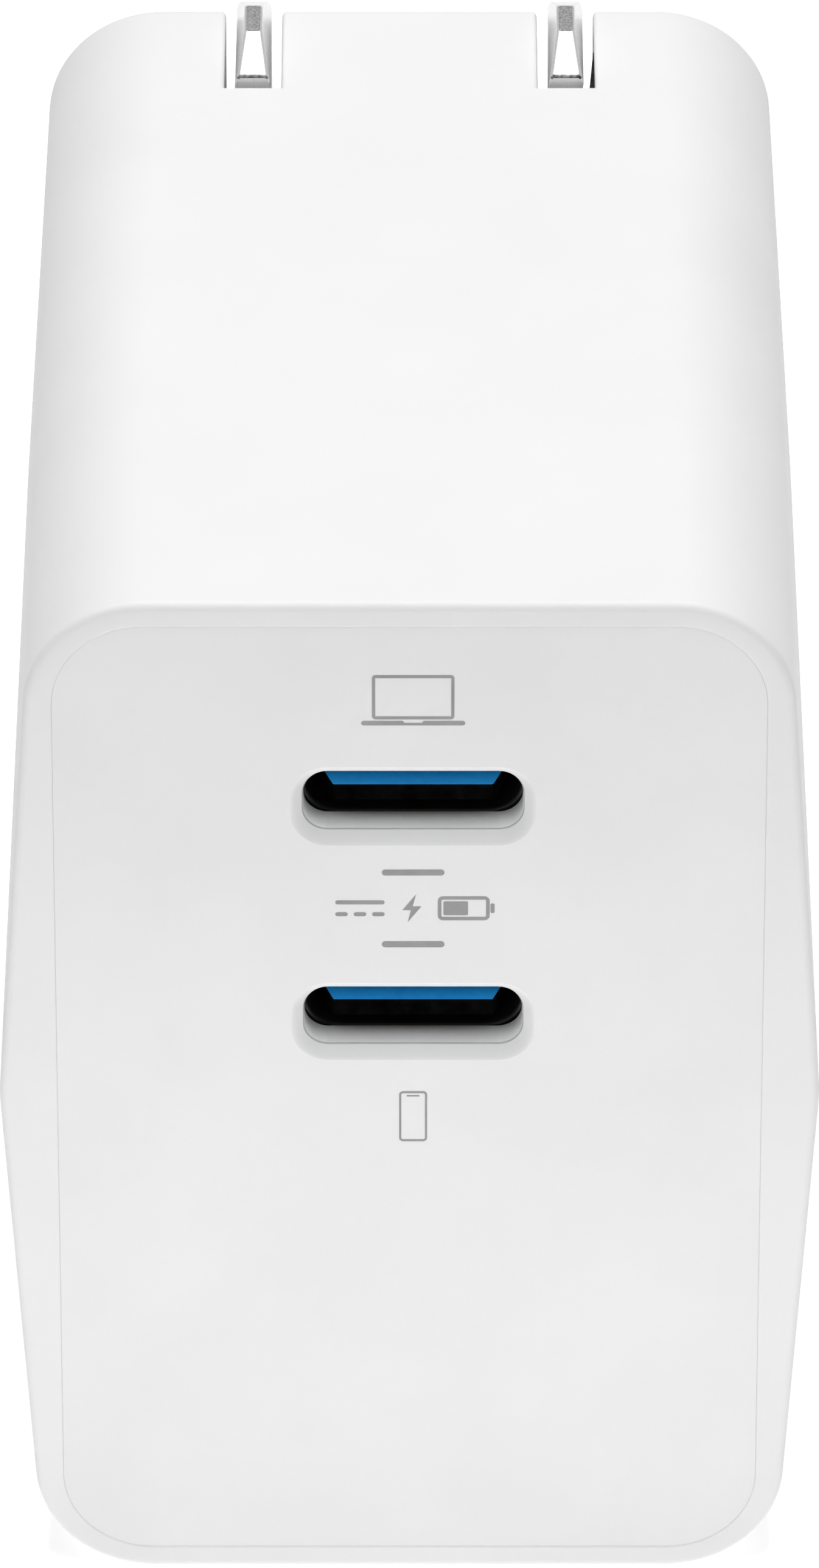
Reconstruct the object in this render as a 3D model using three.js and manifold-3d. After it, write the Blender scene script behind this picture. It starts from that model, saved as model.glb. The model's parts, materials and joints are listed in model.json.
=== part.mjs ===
// A compact two-port wall charger with a folding two-blade plug, built as an assembly.
// Millimetres. +X is the charger's right, -Y its port face, +Y its wall face, +Z up.
// The origin is under the middle of the whole assembly, on the surface that it stands on.
import * as THREE from "three";
import { mergeVertices } from "three/addons/utils/BufferGeometryUtils.js";
import Module from "manifold-3d";

const wasm = await Module();
wasm.setup();

// ---------- Driving dimensions ----------
const gap = 0.3;                  // clearance between neighbouring pieces
const seam = 0.15;                // clearance all round the front panel

const body = {
  height: 44.7,
  ridgeWidth: 31.9,               // across the ridges at mid-height
  flankSlope: 0.0655,             // how far the sides lean in, per mm above or below the ridge
  depth: 47.2,
  cornerRadius: 4.7,
  ridgeRadius: 9,
  wall: 1.7,
  backWall: 1.8,
  frontEdge: 0.35,
  backEdge: 0.6,
};
const panel = { width: 27.35, height: 42.7, radius: 3.5, thickness: 1.2, setback: 0.05 };
const port = {
  width: 8.34,                    // receptacle mouth
  height: 2.56,
  upperRise: 13.29,               // above mid-height
  lowerRise: 3.46,
  shift: 0.14,                    // how far the receptacles sit to the right of centre
  openingWidth: 8.46,             // hole in the panel in front of each receptacle
  openingHeight: 2.58,
  openingRadius: 0.95,
  dishWidth: 9.36,
  dishHeight: 3.5,
  dishDepth: 0.5,
  collar: 0.5,                    // how much longer the hole is made behind the panel
};
const blade = {
  spacing: 12.7,                  // standard two-blade plug
  thickness: 1.45,
  width: 6.35,
  sunk: 0.06,                     // how far a folded blade lies inside the wall face
  tipRise: 1.23,                  // how far a folded blade stands above the top
};
const pivot = { inset: 2.9, drop: 19.1 };   // from the wall face, and from the top

// ---------- Derived places ----------
const frontY = -24.05;                      // the layout measures Y from near mid-depth
const wallY = frontY + body.depth;
const centring = -(frontY + wallY) / 2;     // added to every part's Y as it is placed
const midZ = body.height / 2;
const innerBackY = wallY - body.backWall;
const pivotY = wallY - pivot.inset;
const pivotZ = body.height - pivot.drop;
const bladeX = blade.spacing / 2;
const portHeights = { upper: midZ + port.upperRise, lower: midZ + port.lowerRise };
const panelY = frontY + panel.setback;
const panelBackY = panelY + panel.thickness;

// ---------- Materials ----------
const finish = (colour, roughness, metalness = 0) =>
  new THREE.MeshStandardMaterial({ color: colour, roughness, metalness });
const finishes = {
  whitePlastic: () => finish(0xf1f1f1, 0.6),
  whitePanel: () => finish(0xe9e9e9, 0.6),
  nickel: () => finish(0xc9c9cc, 0.25, 1),
  springBronze: () => finish(0xb98a4a, 0.35, 1),
  springSteel: () => finish(0xb4b7bb, 0.3, 1),
  blackenedSteel: () => finish(0x141416, 0.4, 1),
  blackPlastic: () => finish(0x1c1c1e, 0.5),
  bluePlastic: () => finish(0x146eb4, 0.45),
  circuitBoard: () => finish(0x1f6b3a, 0.5),
  ferrite: () => finish(0x34343a, 0.8),
  enamelWire: () => finish(0xa5642c, 0.35, 0.8),
  yellowTape: () => finish(0xe4c13a, 0.5),
  canSleeve: () => finish(0x26262c, 0.45),
  aluminium: () => finish(0xc3c6c9, 0.4, 1),
  filmBox: () => finish(0xe2c23c, 0.5),
  blueDisc: () => finish(0x2b62a8, 0.5),
  greenDisc: () => finish(0x3c6b3c, 0.6),
  chipBlack: () => finish(0x202124, 0.6),
  insulationFilm: () => finish(0x3b3f45, 0.6),
  siliconePad: () => finish(0x8f9aa6, 0.85),
  leadSleeve: () => finish(0xd9d9d6, 0.6),
};

// ---------- Shape helpers ----------
// Corners of a convex polygon rounded with arcs; every arc gets the same number of steps.
function roundPolygon(corners) {
  const points = [];
  corners.forEach((corner, i) => {
    const before = corners[(i + corners.length - 1) % corners.length];
    const after = corners[(i + 1) % corners.length];
    const here = new THREE.Vector2(corner.x, corner.y);
    const back = new THREE.Vector2(before.x, before.y).sub(here).normalize();
    const ahead = new THREE.Vector2(after.x, after.y).sub(here).normalize();
    const halfAngle = Math.acos(back.dot(ahead)) / 2;
    const centre = back.clone().add(ahead).normalize();
    centre.multiplyScalar(corner.r / Math.sin(halfAngle)).add(here);
    const start = back.multiplyScalar(corner.r / Math.tan(halfAngle)).add(here);
    const sweep = Math.PI - 2 * halfAngle;
    for (let k = 0; k <= corner.steps; k += 1) {
      points.push(start.clone().rotateAround(centre, (sweep * k) / corner.steps));
    }
  });
  return points;
}

const shapeOf = (points) => new THREE.Shape(points);

// A rounded rectangle, anticlockwise, centred on (0, up).
function roundedRectangle(width, height, radius, up = 0, steps = 6) {
  const right = width / 2;
  const top = height / 2;
  return roundPolygon([
    { x: right, y: up + top, r: radius, steps },
    { x: -right, y: up + top, r: radius, steps },
    { x: -right, y: up - top, r: radius, steps },
    { x: right, y: up - top, r: radius, steps },
  ]);
}

// The body's cross-section: a tall rounded rectangle whose sides swell to a ridge at mid-height.
function bodyOutline(inset) {
  const top = body.height / 2 - inset;
  const ridge = body.ridgeWidth / 2 - inset * Math.hypot(1, body.flankSlope);
  const corner = ridge - body.flankSlope * top;
  const radius = body.cornerRadius - inset;
  return roundPolygon([
    { x: corner, y: midZ + top, r: radius, steps: 8 },
    { x: -corner, y: midZ + top, r: radius, steps: 8 },
    { x: -ridge, y: midZ, r: body.ridgeRadius, steps: 2 },
    { x: -corner, y: midZ - top, r: radius, steps: 8 },
    { x: corner, y: midZ - top, r: radius, steps: 8 },
    { x: ridge, y: midZ, r: body.ridgeRadius, steps: 2 },
  ]);
}

const alongX = new THREE.Matrix4().makeBasis(
  new THREE.Vector3(0, 1, 0), new THREE.Vector3(0, 0, 1), new THREE.Vector3(1, 0, 0));
const alongY = new THREE.Matrix4().makeBasis(
  new THREE.Vector3(1, 0, 0), new THREE.Vector3(0, 0, 1), new THREE.Vector3(0, -1, 0));

function prism(points, length, holes = []) {
  const shape = shapeOf(points);
  shape.holes = holes.map((hole) => new THREE.Path(hole));
  return new THREE.ExtrudeGeometry(shape, { depth: length, bevelEnabled: false });
}

// A (y, z) outline carried along X from x0 to x1.
const prismX = (points, x0, x1) => prism(points, x1 - x0).applyMatrix4(alongX).translate(x0, 0, 0);

// An (x, z) outline carried along Y from y0 to y1.
const prismY = (points, y0, y1, holes = []) =>
  prism(points, y1 - y0, holes).applyMatrix4(alongY).translate(0, y1, 0);

function block(x0, x1, y0, y1, z0, z1) {
  const box = new THREE.BoxGeometry(x1 - x0, y1 - y0, z1 - z0);
  return box.translate((x0 + x1) / 2, (y0 + y1) / 2, (z0 + z1) / 2);
}

// Outlines of equal length joined along Y into one closed skin.
function loft(rings) {
  const count = rings[0].points.length;
  const places = [];
  const faces = [];
  rings.forEach((ring) => ring.points.forEach((p) => places.push(p.x, ring.y, p.y)));
  for (let i = 0; i + 1 < rings.length; i += 1) {
    for (let j = 0; j < count; j += 1) {
      const a = i * count + j;
      const b = i * count + ((j + 1) % count);
      faces.push(a, a + count, b, b, a + count, b + count);
    }
  }
  const last = (rings.length - 1) * count;
  for (let j = 1; j + 1 < count; j += 1) {
    faces.push(0, j, j + 1, last, last + j + 1, last + j);
  }
  const geometry = new THREE.BufferGeometry();
  geometry.setAttribute("position", new THREE.Float32BufferAttribute(places, 3));
  geometry.setIndex(faces);
  return geometry;
}

// Rings of a quarter-round edge at one end of the body, from the end face inwards.
function edgeRings(endY, radius, inwards, steps = 3) {
  const rings = [];
  for (let k = 0; k <= steps; k += 1) {
    const angle = (Math.PI / 2) * (k / steps);
    const y = endY + inwards * radius * (1 - Math.cos(angle));
    rings.push({ y, points: bodyOutline(radius * (1 - Math.sin(angle))) });
  }
  return rings;
}

// A strip of even thickness about a centre line, as an outline.
function stripOutline(centreLine, thickness) {
  const left = [];
  const right = [];
  centreLine.forEach((p, i) => {
    const before = centreLine[Math.max(i - 1, 0)];
    const after = centreLine[Math.min(i + 1, centreLine.length - 1)];
    const run = new THREE.Vector2(after[0] - before[0], after[1] - before[1]).normalize();
    const side = new THREE.Vector2(-run.y, run.x).multiplyScalar(thickness / 2);
    left.push(new THREE.Vector2(p[0] + side.x, p[1] + side.y));
    right.unshift(new THREE.Vector2(p[0] - side.x, p[1] - side.y));
  });
  return [...left, ...right].reverse();
}

function ringAbout(innerRadius, outerRadius, z0, z1, steps = 32) {
  const profile = [
    new THREE.Vector2(innerRadius, z0),
    new THREE.Vector2(outerRadius, z0),
    new THREE.Vector2(outerRadius, z1),
    new THREE.Vector2(innerRadius, z1),
    new THREE.Vector2(innerRadius, z0),
  ];
  return turned(profile, steps);
}

// A profile of (radius, height) turned about Z.
const turned = (profile, steps = 24) => new THREE.LatheGeometry(profile, steps).rotateX(Math.PI / 2);

const roundBar = (radius, z0, z1, steps = 20) =>
  new THREE.CylinderGeometry(radius, radius, z1 - z0, steps)
    .rotateX(Math.PI / 2)
    .translate(0, 0, (z0 + z1) / 2);

// ---------- Boolean helpers ----------
function toSolid(geometry) {
  const bare = geometry.clone();
  bare.deleteAttribute("normal");
  bare.deleteAttribute("uv");
  const merged = mergeVertices(bare, 1e-4);
  const mesh = new wasm.Mesh({
    numProp: 3,
    vertProperties: new Float32Array(merged.attributes.position.array),
    triVerts: new Uint32Array(merged.index.array),
  });
  return new wasm.Manifold(mesh);
}

function toGeometry(solid) {
  const mesh = solid.getMesh();
  const geometry = new THREE.BufferGeometry();
  geometry.setAttribute("position", new THREE.BufferAttribute(mesh.vertProperties, 3));
  geometry.setIndex(new THREE.BufferAttribute(mesh.triVerts, 1));
  return geometry;
}

const join = (first, ...rest) =>
  toGeometry(rest.reduce((sum, piece) => sum.add(toSolid(piece)), toSolid(first)));
const cut = (first, ...rest) =>
  toGeometry(rest.reduce((sum, piece) => sum.subtract(toSolid(piece)), toSolid(first)));
const common = (first, second) => toGeometry(toSolid(first).intersect(toSolid(second)));

const charger = new THREE.Group();

function addPart(name, geometry, material, place = [0, 0, 0]) {
  const mesh = new THREE.Mesh(geometry, material);
  mesh.name = name;
  mesh.position.set(place[0], place[1] + centring, place[2]);
  charger.add(mesh);
  return mesh;
}

// ---------- Case ----------
const slotWidth = 2.3;
const slotDepth = 6.71;
const slotFrontY = wallY - slotDepth;
const channelWall = 1.2;
const windowHalfWidth = 8.55;
const windowHalfHeight = 3.3;

// Open-backed channel that a folded blade lies in, closed off from the electronics.
function bladeChannel(x) {
  const half = slotWidth / 2 + channelWall;
  const lowZ = pivotZ + windowHalfHeight + 0.6;
  return block(x - half, x + half, slotFrontY - channelWall, innerBackY + 0.5, lowZ, midZ + 21.5);
}

function bladeSlot(x) {
  const half = slotWidth / 2;
  return block(x - half, x + half, slotFrontY, wallY + 2, pivotZ, body.height + 2);
}

function mainHousing() {
  const skin = loft([
    ...edgeRings(frontY, body.frontEdge, 1),
    ...edgeRings(wallY, body.backEdge, -1).reverse(),
  ]);
  const recessDepth = panel.setback + panel.thickness + gap;
  const recess = prismY(
    roundedRectangle(panel.width + 2 * seam, panel.height + 2 * seam, panel.radius + seam, midZ, 8),
    frontY - 1, frontY + recessDepth);
  const cavity = loft([
    { y: frontY + 0.8, points: bodyOutline(body.wall + 1) },
    { y: frontY + recessDepth - 0.01, points: bodyOutline(body.wall + 1) },
    { y: frontY + recessDepth, points: bodyOutline(body.wall) },
    { y: innerBackY, points: bodyOutline(body.wall) },
  ]);
  const window = block(-windowHalfWidth, windowHalfWidth, innerBackY - 1, wallY + 2,
    pivotZ - windowHalfHeight, pivotZ + windowHalfHeight);
  const shell = cut(skin, recess, cavity);
  const channelled = join(shell, bladeChannel(-bladeX), bladeChannel(bladeX));
  return cut(channelled, window, bladeSlot(-bladeX), bladeSlot(bladeX));
}

// Rounded opening for one receptacle, with a sloping dish round its mouth.
function portOpening(z) {
  const mouth = roundedRectangle(port.openingWidth, port.openingHeight, port.openingRadius, z);
  const dishRadius = port.openingRadius + (port.dishWidth - port.openingWidth) / 2;
  const dish = roundedRectangle(port.dishWidth, port.dishHeight, dishRadius, z);
  const hole = prismY(mouth, panelY - 1, panelY + 5);
  const taper = loft([
    { y: panelY - port.dishDepth, points: dish },
    { y: panelY, points: dish },
    { y: panelY + port.dishDepth, points: mouth },
    { y: panelY + port.dishDepth + 0.5, points: mouth },
  ]);
  return join(hole, taper).translate(port.shift, 0, 0);
}

// Raised pad behind the panel that lengthens one receptacle's hole.
function portCollar(z) {
  const outline = roundedRectangle(port.openingWidth + 1.6, port.openingHeight + 1.6, 1.7, z);
  return prismY(outline, panelBackY - 0.2, panelBackY + port.collar).translate(port.shift, 0, 0);
}

const skirt = { width: 25, height: 40.4, radius: 2.8, thickness: 1, length: 3.4 };

function frontPanel() {
  const plate = prismY(roundedRectangle(panel.width, panel.height, panel.radius, midZ, 8),
    panelY, panelBackY);
  const inner = roundedRectangle(skirt.width - 2 * skirt.thickness,
    skirt.height - 2 * skirt.thickness, skirt.radius - skirt.thickness, midZ);
  const ring = prismY(roundedRectangle(skirt.width, skirt.height, skirt.radius, midZ),
    panelBackY - 0.2, panelBackY + skirt.length, [inner]);
  const collars = [portCollar(portHeights.upper), portCollar(portHeights.lower)];
  return cut(join(plate, ring, ...collars), portOpening(portHeights.upper),
    portOpening(portHeights.lower));
}

// ---------- Folding plug ----------
const barrel = { radius: 3, flat: 2.75, halfLength: 8.2, journalRadius: 0.9, journalEnd: 10.5 };
const root = { halfWidth: 1.6, bottom: -2.9, tailEnd: -4.2, tailBack: 0.7, shoulder: 3.1 };
const tip = { rampRun: 2.1, rampRise: 0.95, sideRun: 0.37, sideRise: 1.3 };
const moldClearance = 0.1;
const bladeFront = wallY - blade.sunk - blade.width - pivotY;
const bladeBack = bladeFront + blade.width;
const bladeTop = body.height + blade.tipRise - pivotZ;

function arcPoints(radius, from, to, steps) {
  const points = [];
  for (let k = 0; k <= steps; k += 1) {
    const angle = from + ((to - from) * k) / steps;
    points.push(new THREE.Vector2(radius * Math.cos(angle), radius * Math.sin(angle)));
  }
  return points;
}

// A round bar with one flat towards the wall and one towards the top: whichever of the two
// faces out of the window lies flush with the wall face.
function barrelOutline() {
  const half = Math.acos(barrel.flat / barrel.radius);
  const quarter = Math.PI / 2;
  return [
    ...arcPoints(barrel.radius, half, quarter - half, 4),
    ...arcPoints(barrel.radius, quarter + half, 4 * quarter - half, 20),
  ];
}

function prongCarrier() {
  const bar = prismX(barrelOutline(), -barrel.halfLength, barrel.halfLength);
  const shaft = roundBar(barrel.journalRadius, -barrel.journalEnd, barrel.journalEnd)
    .rotateY(Math.PI / 2);
  const halfX = blade.thickness / 2 + moldClearance;
  const halfY = root.halfWidth + moldClearance;
  const socket = (x) => block(x - halfX, x + halfX, -halfY, halfY, -5, 5);
  return cut(join(bar, shaft), socket(-bladeX), socket(bladeX));
}

// One blade, standing up, seen from the side: tail, narrow root, shoulders, and a tip with a
// ramp on each side of a short flat end.
function bladeOutline() {
  return [
    [-root.halfWidth, root.tailEnd],
    [root.tailBack, root.tailEnd],
    [root.tailBack, root.bottom],
    [root.halfWidth, root.bottom],
    [root.halfWidth, root.shoulder],
    [bladeBack, root.shoulder],
    [bladeBack, bladeTop - tip.rampRise],
    [bladeBack - tip.rampRun, bladeTop],
    [bladeFront + tip.rampRun, bladeTop],
    [bladeFront, bladeTop - tip.rampRise],
    [bladeFront, root.shoulder],
    [-root.halfWidth, root.shoulder],
  ].map(([y, z]) => new THREE.Vector2(y, z));
}

function prongBlade() {
  const half = blade.thickness / 2;
  const plate = prismX(bladeOutline(), -half, half);
  const sides = prismY([
    [-half - 1, root.tailEnd - 1],
    [half + 1, root.tailEnd - 1],
    [half + 1, bladeTop - tip.sideRise * 2],
    [half, bladeTop - tip.sideRise],
    [half - tip.sideRun, bladeTop],
    [-half + tip.sideRun, bladeTop],
    [-half, bladeTop - tip.sideRise],
    [-half - 1, bladeTop - tip.sideRise * 2],
  ].map(([x, z]) => new THREE.Vector2(x, z)), -8, 8);
  return common(plate, sides);
}

const bracket = { halfWidth: 10.8, plateY: 12.9, plateThickness: 1, armInner: 8.6, halfHeight: 3 };

// Plastic yoke whose two arms cradle the carrier's shaft against the wall.
function hingeBracket() {
  const lowZ = pivotZ - bracket.halfHeight;
  const highZ = pivotZ + bracket.halfHeight;
  const plate = block(-bracket.halfWidth, bracket.halfWidth, bracket.plateY,
    bracket.plateY + bracket.plateThickness, lowZ, highZ);
  const armBack = innerBackY - 0.25;
  const arm = (x0, x1) => block(x0, x1, bracket.plateY + 0.2, armBack, lowZ + 0.6, highZ - 0.6);
  const bore = roundBar(barrel.journalRadius + moldClearance, -15, 15)
    .rotateY(Math.PI / 2)
    .translate(0, pivotY, pivotZ);
  return cut(join(plate, arm(-bracket.halfWidth, -bracket.armInner),
    arm(bracket.armInner, bracket.halfWidth)), bore);
}

// Leaf spring that clicks the carrier into its two positions.
function detentSpring() {
  const foot = bracket.plateY + bracket.plateThickness + gap + 0.15;
  const crown = pivotY - barrel.radius - gap - 0.2;
  const line = [
    [foot, pivotZ - 3.2],
    [foot + 0.4, pivotZ - 2.4],
    [crown - 0.4, pivotZ - 1.5],
    [crown, pivotZ - 0.6],
    [crown, pivotZ + 0.6],
    [crown - 0.4, pivotZ + 1.5],
    [foot + 0.4, pivotZ + 2.4],
    [foot, pivotZ + 3.2],
  ];
  return prismX(stripOutline(line, 0.3), -2.2, 2.2);
}

const tailReach = Math.hypot(root.halfWidth, root.tailEnd);
const contactY = pivotY - tailReach - gap - 0.2;
const contactFootZ = 19.8;

// Mains contact leaf that a blade's tail reaches when the plug is unfolded.
function contactSpring() {
  const line = [
    [contactY, contactFootZ],
    [contactY, pivotZ + 1.4],
    [contactY - 0.15, pivotZ + 2.4],
    [contactY - 0.6, pivotZ + 3.2],
  ];
  return prismX(stripOutline(line, 0.4), -1.5, 1.5);
}

// ---------- Boards ----------
const boardZ = 3.4;
const boardTop = 4.6;
const seatZ = boardTop + gap;
const portBoardY = frontY + 8.95;
const portBoardBack = portBoardY + 1;

function inputLead(side) {
  const path = new THREE.CatmullRomCurve3([
    new THREE.Vector3(side * bladeX, contactY, contactFootZ - gap),
    new THREE.Vector3(side * (bladeX + 0.2), contactY + 0.6, 16.6),
    new THREE.Vector3(side * 10, 18.9, 12),
    new THREE.Vector3(side * 10.4, 19.2, 8.5),
    new THREE.Vector3(side * 10.4, 19.2, seatZ),
  ]);
  const section = shapeOf(arcPoints(0.6, 0, 2 * Math.PI, 8).slice(0, 8));
  return new THREE.ExtrudeGeometry(section, { steps: 16, bevelEnabled: false, extrudePath: path });
}

function portBoard() {
  return prismY(roundedRectangle(22.4, 38.6, 2.5, midZ), portBoardY, portBoardBack);
}

function linkHeader() {
  const strip = block(-8, 3, -13.3, -11.3, seatZ, seatZ + 2.4);
  const pins = [];
  for (let k = 0; k < 5; k += 1) {
    const x = -7 + 2.25 * k;
    pins.push(block(x - 0.3, x + 0.3, portBoardBack + gap, -13, seatZ + 1, seatZ + 1.6));
  }
  return join(strip, ...pins);
}

// ---------- Receptacles ----------
const shellFrontY = panelBackY + port.collar + seam;
const shellThickness = 0.3;

function receptacleShell(z) {
  const outer = roundedRectangle(port.width + 2 * shellThickness, port.height + 2 * shellThickness,
    port.height / 2 + shellThickness - 0.02, z);
  const inner = roundedRectangle(port.width, port.height, port.height / 2 - 0.02, z);
  return prismY(outer, shellFrontY, portBoardY - gap, [inner]);
}

const tongue = { width: 6.8, thickness: 0.7, setback: 1.1, chamferSide: 0.32, chamferRun: 0.9 };

// Moulded insulator: a base that fills the shell's back, and the tongue that carries contacts.
function receptacleTongue(z) {
  const tipY = frontY + tongue.setback;
  const half = tongue.width / 2;
  const rootY = shellFrontY + 4.7;
  const plan = [
    [-half, rootY + 0.5],
    [-half, tipY + tongue.chamferRun],
    [-half + tongue.chamferSide, tipY],
    [half - tongue.chamferSide, tipY],
    [half, tipY + tongue.chamferRun],
    [half, rootY + 0.5],
  ].map(([x, y]) => new THREE.Vector2(x, y));
  const leaf = prism(plan, tongue.thickness).translate(0, 0, z - tongue.thickness / 2);
  const step = block(-half, half, rootY - 1.2, rootY + 0.5, z - 0.65, z + 0.65);
  const base = prismY(roundedRectangle(8.1, 2.32, 1.1, z), rootY, portBoardY - gap);
  return join(base, step, leaf);
}

// ---------- Transformer ----------
const core = { x: -1.9, y: -3.6, width: 18, depth: 14, plate: 3.2, leg: 4.7, post: 3.4, side: 1.6 };
const coreZ = 5.2;
const coreMiddle = coreZ + core.plate + core.leg;

// Half of a ferrite core: a plate, two side legs and a round centre post.
function coreHalf(flip) {
  const half = core.width / 2;
  const deep = core.depth / 2;
  const top = core.plate + core.leg;
  const plate = block(-half, half, -deep, deep, 0, core.plate);
  const leg = (x0, x1) => block(x0, x1, -deep, deep, core.plate - 0.2, top);
  const post = roundBar(core.post, core.plate - 0.2, top, 24);
  const whole = join(plate, leg(-half, -half + core.side), leg(half - core.side, half), post);
  return flip ? whole.rotateX(Math.PI) : whole;
}

function transformerBobbin() {
  const low = coreZ + core.plate + gap;
  const high = 2 * coreMiddle + gap - low;
  const rim = 0.7;
  return turned([
    [3.75, low], [6.9, low], [6.9, low + rim], [4.4, low + rim],
    [4.4, high - rim], [6.9, high - rim], [6.9, high], [3.75, high], [3.75, low],
  ].map(([r, z]) => new THREE.Vector2(r, z)), 32);
}

function transformerWinding() {
  const low = coreZ + core.plate + gap + 0.7 + gap;
  return ringAbout(4.7, 6.7, low, 2 * coreMiddle + gap - low);
}

// ---------- Wound and boxed components ----------
const choke = { x: -4.2, y: 7.3, z: 12.2, outer: 6, inner: 3.2, half: 2.3 };

const chokeCore = () => ringAbout(choke.inner, choke.outer, -choke.half, choke.half)
  .rotateX(Math.PI / 2);

// Layer of wire round one side of the toroid: a wedge of a fatter ring, less the core.
function chokeWinding(side) {
  const inner = choke.inner - 0.7;
  const outer = choke.outer + 0.7;
  const deep = choke.half + 0.75;
  const spread = Math.PI / 3.2;
  const middle = side > 0 ? 0 : Math.PI;
  const wedge = prism([
    ...arcPoints(outer, middle - spread, middle + spread, 14),
    ...arcPoints(inner, middle + spread, middle - spread, 10),
  ], 2 * deep).translate(0, 0, -deep);
  const clear = ringAbout(choke.inner - gap, choke.outer + gap, -choke.half - gap, choke.half + gap);
  return cut(wedge, clear).rotateX(Math.PI / 2);
}

// Electrolytic can lying along Y: a crimp groove near the seal end and a shallow vent dish.
function canCapacitor(radius, length) {
  return turned([
    [0, 0], [radius - 0.5, 0], [radius, 0.4], [radius, 1.4], [radius - 0.45, 1.8],
    [radius - 0.45, 2.2], [radius, 2.6], [radius, length - 0.4], [radius - 0.4, length],
    [radius - 1, length], [radius - 1.2, length - 0.2], [0, length - 0.2],
  ].map(([r, z]) => new THREE.Vector2(r, z)), 28).rotateX(-Math.PI / 2);
}

// Disc component with softened faces, axis along Z.
function discBody(radius, thickness) {
  const half = thickness / 2;
  return turned([
    [0, -half], [radius - 0.7, -half], [radius - 0.2, -half + 0.4], [radius, 0],
    [radius - 0.2, half - 0.4], [radius - 0.7, half], [0, half],
  ].map(([r, z]) => new THREE.Vector2(r, z)), 24);
}

// Box with its upright edges rounded.
function softBox(width, depth, height, radius) {
  return prism(roundedRectangle(width, depth, radius, 0, 3), height);
}

// ---------- Assembly ----------
function addCase() {
  addPart("main_housing", mainHousing(), finishes.whitePlastic());
  addPart("front_panel", frontPanel(), finishes.whitePanel());
}

function addPlug() {
  const onPivot = [0, pivotY, pivotZ];
  addPart("prong_carrier", prongCarrier(), finishes.whitePlastic(), onPivot);
  addPart("prong_blade_left", prongBlade(), finishes.nickel(), [-bladeX, pivotY, pivotZ]);
  addPart("prong_blade_right", prongBlade(), finishes.nickel(), [bladeX, pivotY, pivotZ]);
  addPart("hinge_bracket", hingeBracket(), finishes.blackPlastic());
  addPart("detent_spring", detentSpring(), finishes.springSteel());
  addPart("contact_spring_left", contactSpring(), finishes.springBronze(), [-bladeX, 0, 0]);
  addPart("contact_spring_right", contactSpring(), finishes.springBronze(), [bladeX, 0, 0]);
  addPart("input_lead_left", inputLead(-1), finishes.leadSleeve());
  addPart("input_lead_right", inputLead(1), finishes.leadSleeve());
}

function addBoards() {
  addPart("main_board", block(-11.4, 11.4, -13.6, 20.6, boardZ, boardTop), finishes.circuitBoard());
  addPart("port_board", portBoard(), finishes.circuitBoard());
  addPart("board_link_header", linkHeader(), finishes.blackPlastic());
}

function addReceptacles() {
  for (const [level, z] of Object.entries(portHeights)) {
    const place = [port.shift, 0, 0];
    addPart(`usb_shell_${level}`, receptacleShell(z), finishes.blackenedSteel(), place);
    addPart(`usb_tongue_${level}`, receptacleTongue(z), finishes.bluePlastic(), place);
  }
}

function addTransformer() {
  const axis = [core.x, core.y, 0];
  const lower = [core.x, core.y, coreZ];
  const upper = [core.x, core.y, 2 * coreMiddle + gap - coreZ];
  addPart("transformer_core_lower", coreHalf(false), finishes.ferrite(), lower);
  addPart("transformer_core_upper", coreHalf(true), finishes.ferrite(), upper);
  addPart("transformer_bobbin", transformerBobbin(), finishes.blackPlastic(), axis);
  addPart("transformer_winding", transformerWinding(), finishes.yellowTape(), axis);
}

function addFilterParts() {
  const chokePlace = [choke.x, choke.y, choke.z];
  addPart("choke_core", chokeCore(), finishes.ferrite(), chokePlace);
  addPart("choke_winding_left", chokeWinding(-1), finishes.enamelWire(), chokePlace);
  addPart("choke_winding_right", chokeWinding(1), finishes.enamelWire(), chokePlace);
  addPart("x_capacitor", softBox(6.5, 10, 11, 0.6), finishes.filmBox(), [7.65, 9.9, seatZ]);
  addPart("y_capacitor", discBody(3.3, 2.6).rotateY(Math.PI / 2), finishes.blueDisc(), [9.2, -5.9, 8.6]);
  addPart("bridge_rectifier", softBox(7.8, 2.4, 8, 0.4), finishes.chipBlack(), [-7.1, 12, seatZ]);
  addPart("fuse", roundBar(1.9, 0, 6.4), finishes.blackPlastic(), [-8.6, 16.8, seatZ]);
  addPart("inrush_thermistor", discBody(3.6, 2.4).rotateX(Math.PI / 2), finishes.greenDisc(),
    [-2.6, 16.6, 9.1]);
}

function addCapacitors() {
  const bulk = { x: 5.75, y: -12.5, z: 36, radius: 5.4, length: 25 };
  const output = { x: 7.9, y: portBoardBack + gap, z: 26.1, radius: 3.15, length: 9 };
  for (const [side, sign] of [["left", -1], ["right", 1]]) {
    addPart(`bulk_capacitor_${side}`, canCapacitor(bulk.radius, bulk.length), finishes.canSleeve(),
      [sign * bulk.x, bulk.y, bulk.z]);
    addPart(`output_capacitor_${side}`, canCapacitor(output.radius, output.length),
      finishes.aluminium(), [sign * output.x, output.y, output.z]);
  }
}

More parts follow.
